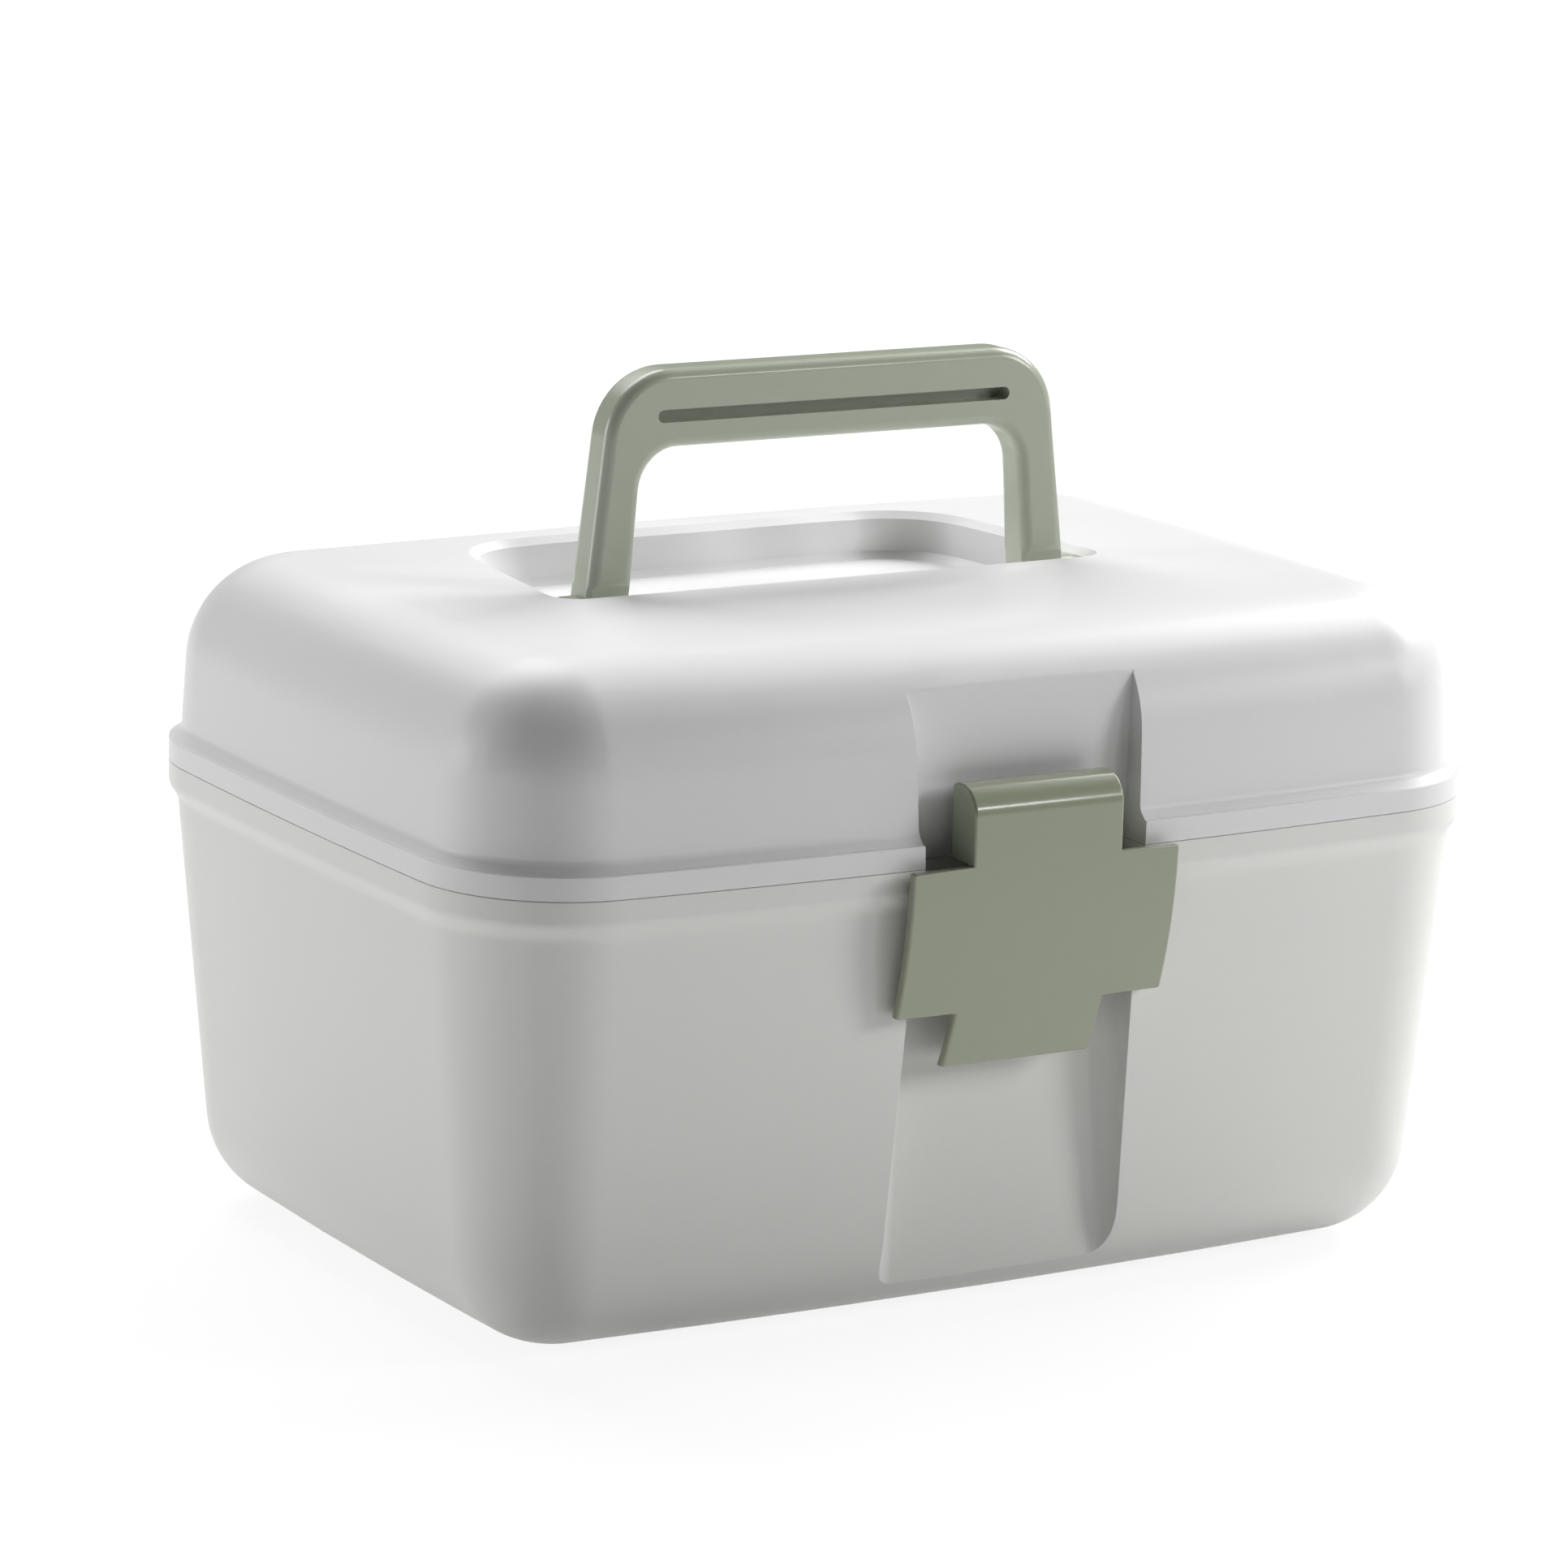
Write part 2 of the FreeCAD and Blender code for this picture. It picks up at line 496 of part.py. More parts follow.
def handle_well(body, name, margin):
    """Sinks the well of the folded handle from the lid top, widened by a margin."""
    sketch = new_sketch(body, f"{name}_outline", "XY_Plane", LID_TOP)
    front = f"({HANDLE_FRONT} - sizes.well_front_gap - {margin})"
    rear = f"({HANDLE_REACH} + sizes.well_rear_gap + {margin})"

    def half(level):
        return f"({WELL_HALF} - {level} * {OUTER_SLOPE} + {margin})"

    corners = [(f"-1 * {half(front)}", front), (half(front), front)]
    corners += [(half(rear), rear), (f"-1 * {half(rear)}", rear)]
    polygon(sketch, corners)
    before = body.Tip.Shape
    pocket(body, f"{name}_pocket", sketch, f"sizes.well_depth + {margin}", taper=WELL_DRAFT)
    split = (size(front) + size(rear)) / 2
    top = size(LID_TOP)

    def upright(rear_side):
        def test(edge):
            box = edge.BoundBox
            return box.ZLength > box.XLength + box.YLength and (box.YMin > split) == rear_side

        return newer_than(before.Edges, test)

    rear_round, front_round = "sizes.well_corner_round", "sizes.well_front_round"
    if margin != "0":
        # flats that leave the wall about as thick in the corners as along the sides
        share = "(2 - sqrt(2))"
        rear_flat, front_flat = (f"({r} + {margin}) * {share}" for r in (rear_round, front_round))
        round_edges(body, f"{name}_rear", rear_flat, upright(True), CHAMFER)
        round_edges(body, f"{name}_front", front_flat, upright(False), CHAMFER)
        return
    round_edges(body, f"{name}_rear", rear_round, upright(True))
    round_edges(body, f"{name}_front", front_round, upright(False))
    floor = top - size("sizes.well_depth")
    foot = newer_than(before.Edges, lambda e: at_height(e, floor))
    round_edges(body, f"{name}_floor", "sizes.well_floor_bevel", foot, CHAMFER)
    brim = newer_than(before.Edges, lambda e: at_height(e, top))
    round_edges(body, f"{name}_brim", "sizes.well_brim_bevel", brim, CHAMFER)


def lid_inside():
    """The hollow of the lid, kept one wall away from the recess and the well."""
    body = new_body("lid_inside")
    lip_inner = f"({LIP_OUTER} + sizes.lip_thickness)"
    low = bowed_outline(body, "lip_outline", LIP_BOTTOM, lip_inner, f"(sizes.corner_radius - {lip_inner})")
    pad(body, "lip_block", low, f"{LIP_ROOT} - {LIP_BOTTOM}")
    root_inset = f"({LID_INNER} + ({LIP_ROOT} - {LID_BOTTOM}) * {LID_SLOPE})"
    corner = f"(sizes.corner_radius - {root_inset})"
    high = bowed_outline(body, "hollow_outline", LIP_ROOT, root_inset, corner)
    pad(body, "hollow_block", high, f"{LID_TOP} - sizes.wall - {LIP_ROOT}", taper=LID_DRAFT)
    ceiling = size(f"{LID_TOP} - sizes.wall")
    bevel = "(sizes.dome_fillet - sizes.wall) * sizes.inner_bevel"
    round_edges(body, "hollow_dome", bevel, lambda e: at_height(e, ceiling), CHAMFER)
    above = (LIP_ROOT, f"{LID_TOP} + 1", f"{LID_PANEL} - sizes.wall", "sizes.wall")
    panel = recess_section(body, "panel_section", *above)
    pocket(body, "panel_wall", panel, "sizes.lid_panel_depth + 5", reverse=True)
    margin = "(sizes.wall + sizes.lip_clearance + sizes.lip_thickness)"
    below = (f"{LIP_BOTTOM} - 1", LIP_ROOT, f"{LID_PANEL} - {margin}", margin)
    notch = recess_section(body, "lip_section", *below)
    pocket(body, "lip_notch", notch, "sizes.lid_panel_depth + 5", reverse=True)
    handle_well(body, "well", "sizes.wall")
    return body


def lip_outside():
    """The outer form of the locating lip, notched round the band of the base recess."""
    body = new_body("lip_outside")
    corner = f"(sizes.corner_radius - {LIP_OUTER})"
    outline = bowed_outline(body, "lip_outline", LIP_BOTTOM, LIP_OUTER, corner)
    pad(body, "lip_block", outline, f"{LIP_ROOT} - {LIP_BOTTOM}")
    margin = "(sizes.wall + sizes.lip_clearance)"
    below = (f"{LIP_BOTTOM} - 1", f"{LIP_ROOT} + 1", f"{LID_PANEL} - {margin}", margin)
    notch = recess_section(body, "lip_section", *below)
    pocket(body, "lip_notch", notch, "sizes.lid_panel_depth + 5", reverse=True)
    return body


def support_fin(name, side, along):
    """An upright fin on a side wall of the base that carries the rim of the tray."""
    body = new_body(name)
    sketch = new_sketch(body, f"{name}_section", "XZ_Plane", f"-1 * ({along})")
    top = f"({TRAY_RIM_BOTTOM} - sizes.tray_seat_gap)"
    low = f"({top} - sizes.support_drop)"

    def mid_wall(level):
        inset = f"sizes.base_rim_step + ({BASE_NECK} - {level}) * {BASE_SLOPE} + sizes.wall / 2"
        return f"({HALF_WIDTH} - ({inset}) - sizes.side_bow * ({along})^2 / ({HALF_DEPTH})^2)"

    inner = f"({mid_wall(top)} - sizes.support_reach)"
    corners = [(mid_wall(low), low), (mid_wall(top), top), (inner, top), (inner, f"{top} - 3")]
    polygon(sketch, [(f"{side} * {across}", up) for across, up in corners])
    pad(body, f"{name}_block", sketch, "sizes.support_thickness", middle=True)
    return body


def knuckle(name, middle, length, web, y_formula=HINGE_Y, z_formula="sizes.base_height"):
    """A hinge knuckle along X with a web, given by its corners, that joins it to a rim."""
    body = rod(name, middle, y_formula, z_formula, "2 * sizes.hinge_knuckle_radius", length)
    sketch = new_sketch(body, f"{name}_web_section", "YZ_Plane", middle)
    polygon(sketch, web)
    pad(body, f"{name}_web", sketch, length, middle=True)
    return body


def base_knuckles(side):
    """The two base knuckles of one hinge, their webs sloping down to the wall."""
    hidden = f"({HALF_DEPTH} - 3)"
    low = "(sizes.base_height - sizes.hinge_knuckle_radius)"
    web = [(HINGE_Y, BASE_TOP), (hidden, BASE_TOP), (hidden, f"{low} - 5"), (HINGE_Y, low)]
    length = "((sizes.hinge_length - sizes.hinge_middle_length) / 2 - sizes.hinge_side_gap)"
    offset = f"(sizes.hinge_length / 2 - {length} / 2)"
    middle = f"{side} * sizes.hinge_spacing / 2"
    name = "left" if side < 0 else "right"
    return [
        knuckle(f"base_knuckle_{name}_{end}", f"({middle} {sign} {offset})", length, web)
        for end, sign in (("a", "-"), ("b", "+"))
    ]


def lid_knuckle(side):
    """The lid knuckle of one hinge, its web level with the top of the knuckle."""
    hidden = f"({HALF_DEPTH} - 3)"
    high = "(sizes.base_height + sizes.hinge_knuckle_radius)"
    web = [(HINGE_Y, LID_BOTTOM), (HINGE_Y, high), (hidden, high), (hidden, LID_BOTTOM)]
    name = "left" if side < 0 else "right"
    middle = f"({side} * sizes.hinge_spacing / 2)"
    return knuckle(f"lid_knuckle_{name}", middle, "sizes.hinge_middle_length", web)


def hinge_bore(name, side, play):
    """The bore through one hinge, with a running or a holding fit on the pin."""
    diameter = f"sizes.hinge_pin_diameter + 2 * {play}"
    middle = f"({side} * sizes.hinge_spacing / 2)"
    return rod(name, middle, HINGE_Y, "sizes.base_height", diameter, "sizes.hinge_length + 4")


def latch_lug(name, middle):
    """A pivot lug of the lid: a round hub with a bracket that runs down to the recess."""
    height = LATCH_PIVOT_Z
    y = f"(-1 * {LATCH_PIVOT_Y})"
    body = rod(name, middle, y, height, "2 * sizes.lug_radius", "sizes.lug_thickness")
    sketch = new_sketch(body, f"{name}_web_section", "YZ_Plane", middle)
    hub = "sizes.lug_radius"
    hidden = f"(-1 * {LID_PANEL} + sizes.wall / 2)"
    reach = f"({hidden} - {y})"
    web = [
        (f"{y} + {hub} * cos(36 deg)", f"{height} - {hub} * sin(36 deg)"),
        (f"{y} - {hub} * sin(24 deg)", f"{height} - {hub} * cos(24 deg)"),
        (hidden, f"{LID_BOTTOM} + 0.6"),
        (hidden, f"{height} - {reach} * tan(33 deg)"),
    ]
    polygon(sketch, web)
    pad(body, f"{name}_web", sketch, "sizes.lug_thickness", middle=True)
    return body


def part_of(kind, name, pieces):
    """A boolean of several solids, or of one solid and the tools taken from it."""
    feature = doc.addObject(kind, name)
    if kind == "Part::Cut":
        feature.Base, feature.Tool = pieces
    else:
        feature.Shapes = pieces
    doc.recompute()
    return feature


def joined(name, pieces):
    return part_of("Part::MultiFuse", name, pieces)


def cut_away(name, base, tool):
    return part_of("Part::Cut", name, [base, tool])


def base_shell():
    hollow = cut_away("base_hollow", base_outside(), base_inside())
    added = [hollow]
    for side in (-1, 1):
        hand = "left" if side < 0 else "right"
        for end, sign in (("front", -1), ("rear", 1)):
            along = f"({sign} * sizes.support_spacing / 2)"
            added.append(support_fin(f"support_{hand}_{end}", side, along))
        added += base_knuckles(side)
    bores = [hinge_bore(f"base_bore_{n}", s, "sizes.pin_seat_gap") for n, s in (("l", -1), ("r", 1))]
    return cut_away("base_shell", joined("base_joined", added), joined("base_bores", bores))


def lid_shell():
    solid = joined("lid_solid", [lid_outside(), lip_outside()])
    hollow = cut_away("lid_hollow", solid, lid_inside())
    added = [hollow, lid_knuckle(-1), lid_knuckle(1)]
    for name, side in (("left", -1), ("right", 1)):
        added.append(latch_lug(f"latch_lug_{name}", f"({side} * sizes.lug_spacing / 2)"))
    gap = "sizes.pin_running_gap"
    bores = [hinge_bore(f"lid_bore_{n}", s, gap) for n, s in (("l", -1), ("r", 1))]
    height = LATCH_PIVOT_Z
    pin = f"sizes.latch_pin_diameter + 2 * {gap}"
    bores.append(rod("lug_bore", "0", f"-1 * {LATCH_PIVOT_Y}", height, pin, "sizes.lug_spacing * 2"))
    stub = f"sizes.handle_stub_diameter + 2 * {gap}"
    for name, side in (("left", -1), ("right", 1)):
        middle = f"({side} * {WELL_AT_PIVOT})"
        pivot = ("sizes.handle_pivot_offset", HANDLE_PIVOT_Z)
        bores.append(rod(f"stub_bore_{name}", middle, *pivot, stub, "6 * sizes.wall"))
    return cut_away("lid_shell", joined("lid_joined", added), joined("lid_bores", bores))


def pin(name, middle, y, z, diameter, length):
    body = rod(name, middle, y, z, diameter, length)
    return body


def handle():
    """The carrying handle: a tapered U with a slotted grip, round feet and pivot stubs."""
    body = new_body("handle")
    foot = f"({HANDLE_PIVOT_Z} - sizes.handle_thickness / 2)"
    under = f"({HANDLE_TOP} - sizes.handle_grip_height)"

    def outer(level):
        return f"(sizes.handle_foot_width / 2 - ({level} - {LID_TOP}) * {OUTER_SLOPE})"

    def inner(level):
        start = "sizes.handle_foot_width / 2 - sizes.handle_leg_width"
        return f"({start} - ({level} - {LID_TOP}) * {INNER_SLOPE})"

    top = HANDLE_TOP
    right = [(outer(foot), foot), (outer(top), top)]
    left = [(f"-1 * {x}", z) for x, z in reversed(right)]
    gap = [(inner(foot), foot), (inner(under), under)]
    corners = right + left + [(f"-1 * {x}", z) for x, z in gap] + gap[::-1]
    sketch = new_sketch(body, "handle_outline", "XZ_Plane", "-1 * sizes.handle_pivot_offset")
    polygon(sketch, corners)
    pad(body, "handle_block", sketch, "sizes.handle_thickness", middle=True)
    crest, belly, sole = size(top), size(under), size(foot)
    thickness = size("sizes.handle_thickness")

    def across(edge, level):
        box = edge.BoundBox
        return at_height(edge, level) and abs(box.YLength - thickness) < 0.01

    round_edges(body, "outer_corners", "sizes.handle_outer_round", lambda e: across(e, crest))
    round_edges(body, "inner_corners", "sizes.handle_inner_round", lambda e: across(e, belly))

    def sole_edge(edge):
        return at_height(edge, sole) and edge.BoundBox.XLength > size("sizes.handle_leg_width") / 2

    almost_half = "sizes.handle_thickness / 2 - 0.02"
    round_edges(body, "feet", almost_half, sole_edge)
    face = size("sizes.handle_pivot_offset") - thickness / 2
    pivot = size(HANDLE_PIVOT_Z)

    def face_edge(edge):
        box = edge.BoundBox
        level = box.ZLength < 0.1 and box.ZMax < pivot + 1
        front = abs(box.YMin - face) < 0.01 and abs(box.YMax - face) < 0.01
        rear = abs(box.YMin - face - thickness) < 0.01 and abs(box.YMax - face - thickness) < 0.01
        return (front or rear) and not level

    round_edges(body, "edge_bevel", "sizes.handle_edge_bevel", face_edge, CHAMFER)
    middle = f"({HANDLE_TOP} - sizes.handle_slot_drop)"
    for face, sign in (("front", 1), ("rear", -1)):
        offset = f"{sign} * sizes.handle_thickness / 2 - sizes.handle_pivot_offset"
        slot = new_sketch(body, f"slot_{face}_outline", "XZ_Plane", offset)
        rectangle(slot, "sizes.handle_slot_length / 2", "sizes.handle_slot_height / 2", middle)
        pocket(body, f"slot_{face}", slot, "sizes.handle_slot_depth", reverse=sign < 0)
    reach = size("sizes.handle_slot_length / 2")

    def slot_end(edge):
        box = edge.BoundBox
        inwards = box.XLength < 0.01 and box.ZLength < 0.01
        return abs(abs(box.XMin) - reach) < 0.01 and inwards

    round_edges(body, "slot_ends", "sizes.handle_slot_height / 2 - 0.02", slot_end)
    for name, side in (("left", -1), ("right", 1)):
        start = f"({side} * (sizes.handle_foot_width / 2 - sizes.handle_leg_width / 2))"
        for kind, diameter, end in (
            ("boss", "sizes.handle_boss_diameter", BOSS_END),
            ("stub", "sizes.handle_stub_diameter", STUB_END),
        ):
            section = new_sketch(body, f"{kind}_{name}_section", "YZ_Plane", start)
            circle(section, "sizes.handle_pivot_offset", HANDLE_PIVOT_Z, diameter)
            length = f"{end} - abs({start})"
            pad(body, f"{kind}_{name}", section, length, reverse=side < 0)
    return body


def latch_curve(level, depth):
    """How far forward the latch plate stands at a level, a depth behind its face."""
    radius = "sizes.latch_curve_radius"
    drop = f"({LATCH_CURVE_TOP} - {level})"
    return f"(-1 * {LATCH_FACE} + {radius} - sqrt(({radius} - {depth})^2 - {drop}^2))"


def latch():
    """The latch: a cross-shaped curved plate with a rolled top, cheeks and a hook rib."""
    body = new_body("latch")
    plate = "sizes.latch_plate"
    radius = "sizes.latch_curve_radius"
    face, back = f"(-1 * {LATCH_FACE})", f"(-1 * {LATCH_FACE} + {plate})"
    y, z = f"(-1 * {LATCH_PIVOT_Y})", LATCH_PIVOT_Z
    bend, foot = LATCH_CURVE_TOP, "(sizes.base_height - sizes.latch_foot_drop)"
    roll, bore = "sizes.latch_barrel_radius", f"(sizes.latch_barrel_radius - {plate})"
    bar = [
        (face, bend),
        (latch_curve(foot, "0"), foot),
        (latch_curve(foot, plate), foot),
        (back, bend),
        (back, z),
        (f"{y} + {bore} * cos(70 deg)", f"{z} + {bore} * sin(70 deg)"),
        (f"{y} + {roll} * cos(70 deg)", f"{z} + {roll} * sin(70 deg)"),
        (face, z),
    ]
    sketch = new_sketch(body, "bar_section", "YZ_Plane", "0")
    arcs = {0: (radius, 1), 2: (f"({radius} - {plate})", -1), 4: (bore, -1), 6: (roll, 1)}
    polygon(sketch, bar, arcs)
    pad(body, "bar", sketch, "sizes.latch_width", middle=True)
    top = "(sizes.base_height + sizes.latch_arm_rise)"
    bottom = "(sizes.base_height - sizes.latch_arm_drop)"
    arms = [
        (latch_curve(top, "0"), top),
        (latch_curve(bottom, "0"), bottom),
        (latch_curve(bottom, plate), bottom),
        (latch_curve(top, plate), top),
    ]
    sketch = new_sketch(body, "arms_section", "YZ_Plane", "0")
    polygon(sketch, arms, {0: (radius, 1), 2: (f"({radius} - {plate})", -1)})
    pad(body, "arms", sketch, "sizes.latch_span", middle=True)
    inner = f"({face} + sizes.latch_cheek_depth)"
    drop = f"({inner} - {y})"
    cheek = [
        (f"{face} + 0.1", top),
        (inner, top),
        (inner, f"{z} + sqrt({roll}^2 - {drop}^2)"),
        (face, z),
        (face, bend),
    ]
    for name, side in (("left", -1), ("right", 1)):
        middle = f"({side} * (sizes.latch_width / 2 - sizes.latch_cheek / 2))"
        sketch = new_sketch(body, f"cheek_{name}_section", "YZ_Plane", middle)
        polygon(sketch, cheek, {2: (roll, 1)})
        pad(body, f"cheek_{name}", sketch, "sizes.latch_cheek", middle=True)
    sketch = new_sketch(body, "hook_section", "YZ_Plane", "0")
    high = f"({RECESS_CEILING} - sizes.hook_drop)"
    low = f"({high} - sizes.hook_thickness)"
    root = f"({latch_curve(low, plate)} - {plate} / 2)"
    tip = f"(-1 * {LID_PANEL} - sizes.hook_clearance)"
    polygon(sketch, [(root, f"{low} - 2.5"), (tip, low), (tip, high), (root, high)])
    pad(body, "hook", sketch, "sizes.hook_width", middle=True)
    hole = new_sketch(body, "pin_hole_section", "YZ_Plane", "0")
    circle(hole, y, z, "sizes.latch_pin_diameter + 2 * sizes.pin_seat_gap")
    pocket(body, "pin_hole", hole, "sizes.latch_width - 2 * sizes.latch_pin_cover", middle=True)
    return body


def rounded_rectangle(sketch, half_x, half_y, radius, middle_y, middle_x="0"):
    """Draws a rectangle with round corners."""
    west, east = f"({middle_x} - {half_x})", f"({middle_x} + {half_x})"
    south, north = f"({middle_y} - {half_y})", f"({middle_y} + {half_y})"
    corners = [
        (east, f"{south} + {radius}"),
        (east, f"{north} - {radius}"),
        (f"{east} - {radius}", north),
        (f"{west} + {radius}", north),
        (west, f"{north} - {radius}"),
        (west, f"{south} + {radius}"),
        (f"{west} + {radius}", south),
        (f"{east} - {radius}", south),
    ]
    polygon(sketch, corners, {side: (f"{radius}", 1) for side in (1, 3, 5, 7)})


def inner_tray():
    """The lift-out tray: a drafted box with a rim, six compartments and a raised grip web."""
    body = new_body("inner_tray")
    middle, half_x, half_y = TRAY_MIDDLE, TRAY_HALF_X, TRAY_HALF_Y
    outline = new_sketch(body, "outline", "XY_Plane", TRAY_TOP)
    rounded_rectangle(outline, half_x, half_y, "(sizes.tray_cell_round + sizes.tray_wall)", middle)
    draft = "(sizes.tray_draft * 1 deg)"
    pad(body, "block", outline, "sizes.tray_height", reverse=True, taper=draft)
    sole = size(f"{TRAY_TOP} - sizes.tray_height")
    round_edges(body, "sole", "sizes.tray_foot_bevel", lambda e: at_height(e, sole), CHAMFER)
    out = "sizes.tray_rim_width"
    ledge = new_sketch(body, "rim_outline", "XY_Plane", TRAY_TOP)
    reach = (f"({half_x} + {out})", f"({half_y} + {out})")
    rounded_rectangle(ledge, *reach, "sizes.tray_rim_corner", middle)
    pad(body, "rim", ledge, "sizes.tray_rim_thickness", reverse=True)
    wall = "sizes.tray_wall"
    third = f"(({half_x} - 2 * {wall}) / 3)"
    depth = "sizes.tray_height - sizes.tray_floor"
    y_low = f"({middle} + sizes.tray_grip_thickness / 2)"
    y_high = f"({middle} + {half_y} - {wall})"
    cell_y = f"(({y_high} - {y_low}) / 2)"
    middle_y = f"({middle} + sizes.tray_grip_thickness / 2 + {cell_y})"
    for row, level in (("rear", middle_y), ("front", f"(2 * {middle} - {middle_y})")):
        for column in (-1, 0, 1):
            centre = f"({column} * (2 * {third} + {wall}))"
            sketch = new_sketch(body, f"cell_{row}_{column + 2}", "XY_Plane", TRAY_TOP)
            rounded_rectangle(sketch, third, cell_y, "sizes.tray_cell_round", level, centre)
            pocket(body, f"cell_{row}_{column + 2}_depth", sketch, depth)
    web = new_sketch(body, "web_outline", "XY_Plane", TRAY_RIM_BOTTOM)
    rectangle(web, "sizes.tray_grip_length / 2", "sizes.tray_grip_thickness / 2", middle)
    pad(body, "web", web, "sizes.tray_grip_height + sizes.tray_rim_thickness")
    slot = new_sketch(body, "grip_slot_outline", "XZ_Plane", f"-1 * {middle}")
    bar = "sizes.tray_grip_bar"
    slot_middle = f"({TRAY_TOP} + sizes.tray_grip_height - {bar} - sizes.tray_grip_slot_height / 2)"
    rectangle(slot, "sizes.tray_grip_slot_length / 2", "sizes.tray_grip_slot_height / 2", slot_middle)
    pocket(body, "grip_slot", slot, "4 * sizes.tray_grip_thickness", middle=True)
    thickness = size("sizes.tray_grip_thickness")

    top = size(TRAY_TOP)

    def web_corner(edge):
        box = edge.BoundBox
        level = box.ZLength < 0.01 and box.XLength < 0.01
        return level and box.ZMin > top + 1 and abs(box.YLength - thickness) < 0.01

    round_edges(body, "grip_corners", "2.5 * sizes.tray_grip_thickness", web_corner)
    return body


def pins():
    """The two hinge pins, held by the base, and the latch pin, held by the latch."""
    length = "sizes.hinge_length"
    diameter = "sizes.hinge_pin_diameter"
    made = []
    for name, side in (("left", -1), ("right", 1)):
        middle = f"({side} * sizes.hinge_spacing / 2)"
        place = (middle, HINGE_Y, "sizes.base_height")
        made.append(pin(f"hinge_pin_{name}", *place, diameter, length))
    place = ("0", f"-1 * {LATCH_PIVOT_Y}", LATCH_PIVOT_Z)
    ends = "2 * (sizes.latch_pin_cover + sizes.latch_pin_end_gap)"
    made.append(pin("latch_pin", *place, "sizes.latch_pin_diameter", f"sizes.latch_width - {ends}"))
    return made


nodes = [base_shell(), lid_shell(), handle(), latch(), inner_tray()] + pins()
doc.recompute()

for thing in doc.Objects:
    if "Invalid" in thing.State or "Error" in thing.State:
        raise RuntimeError(f"{thing.Label} is {thing.State}")
    shape = getattr(thing, "Shape", None)
    if thing.TypeId.startswith(("PartDesign", "Part::")) and (shape.isNull() or not shape.isValid()):
        raise RuntimeError(f"{thing.Label} has no sound shape")

os.makedirs("parts", exist_ok=True)
for node in nodes:
    if len(node.Shape.Solids) != 1:
        raise RuntimeError(f"{node.Label} is not one solid")
    node.Shape.exportStep(f"parts/{node.Label}.step")
    print(node.Label, round(node.Shape.Volume), node.Shape.optimalBoundingBox())
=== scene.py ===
"""The looks of a household medicine case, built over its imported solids."""

import json
import math

import bpy
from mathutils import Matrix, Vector

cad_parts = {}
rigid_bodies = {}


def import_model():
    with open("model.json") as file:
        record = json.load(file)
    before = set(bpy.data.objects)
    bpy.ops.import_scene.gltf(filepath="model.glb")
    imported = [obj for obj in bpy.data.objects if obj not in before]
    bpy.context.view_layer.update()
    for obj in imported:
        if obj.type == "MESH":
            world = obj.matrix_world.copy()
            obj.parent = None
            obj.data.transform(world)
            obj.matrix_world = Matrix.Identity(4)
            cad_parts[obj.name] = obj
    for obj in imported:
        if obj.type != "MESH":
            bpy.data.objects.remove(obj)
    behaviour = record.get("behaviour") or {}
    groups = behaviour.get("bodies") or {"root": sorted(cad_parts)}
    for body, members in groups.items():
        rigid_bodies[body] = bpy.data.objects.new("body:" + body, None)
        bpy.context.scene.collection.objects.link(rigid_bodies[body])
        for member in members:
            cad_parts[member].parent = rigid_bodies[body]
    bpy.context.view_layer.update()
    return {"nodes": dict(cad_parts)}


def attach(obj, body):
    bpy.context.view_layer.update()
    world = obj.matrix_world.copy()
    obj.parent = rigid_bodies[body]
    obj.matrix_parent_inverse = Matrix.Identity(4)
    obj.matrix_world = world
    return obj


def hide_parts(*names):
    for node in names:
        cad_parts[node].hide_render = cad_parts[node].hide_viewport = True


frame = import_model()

bl_info = {
    "name": "Medicine case",
    "version": (1, 0, 0),
    "blender": (4, 5, 0),
    "location": "3D View > Sidebar > Medicine case",
    "description": "Dresses a medicine case with soft moulded edges and plastic finishes",
    "category": "Object",
}

MM = 0.001

# Where the edges lie that get a rounding of their own
HANDLE_BEVEL_Y = (-5.8 * MM, -4.3 * MM, 2.3 * MM, 3.8 * MM)  # planes that its bevels run between
HANDLE_LEG_Z = 148 * MM  # the legs are straight from here up, and the feet lie below
GROOVE_Z = (180 * MM, 188 * MM)  # band of the grip that holds the groove
GROOVE_REACH_X = 45 * MM
LID_PANEL_Y = -83.0 * MM  # flat front panel of the lid, where the latch hangs
DOME_FOOT_Z = 124 * MM  # above this the lid wall curves into its top
BASE_RIM_Z = (93.0 * MM, 96.0 * MM)  # lower and upper end of the bevel under the base's rim
LID_LEDGE_Z = (106.4 * MM,)  # the narrow ledge on the lid's rim
LID_FLARE_Z = (108.4 * MM,)  # where the bevel over that ledge meets the wall
REAR_Y = 85 * MM  # the hinges lie behind this, between the rear corners
REAR_REACH_X = 90 * MM

# How the meshes are joined up, rounded and shaded
MERGE_DISTANCE = 0.01 * MM
FLAT_ANGLE = math.radians(0.4)
SHARP_ANGLE = math.radians(24)
SMOOTH_ANGLE = math.radians(32)
ROUND_SEGMENTS = 4
SOFT_SEGMENTS = 3
EVEN_WEIGHT = 60

# Scales of the noise in the plastics, in features per metre
CLOUD_SCALE = 14
WAVE_SCALE = 34
FLECK_SCALE = 620
GRAIN_SCALE = 1900
WAVE_HEIGHT = 0.25 * MM

# Name, place, side and power of each soft lamp
LAMPS = (
    ("key", (1.38, -1.0, 0.76), 0.5, 11.3),
    ("left", (-1.65, 0.82, 0.46), 0.8, 11.8),
    ("front", (0.88, -1.5, 0.75), 0.2, 2.2),
    ("right", (1.4, 0.3, 1.2), 1.0, 30.5),
    ("back", (0, 0.9, 1.3), 1.0, 16.5),
)
LAMP_TARGET = Vector((0, 0, 80 * MM))

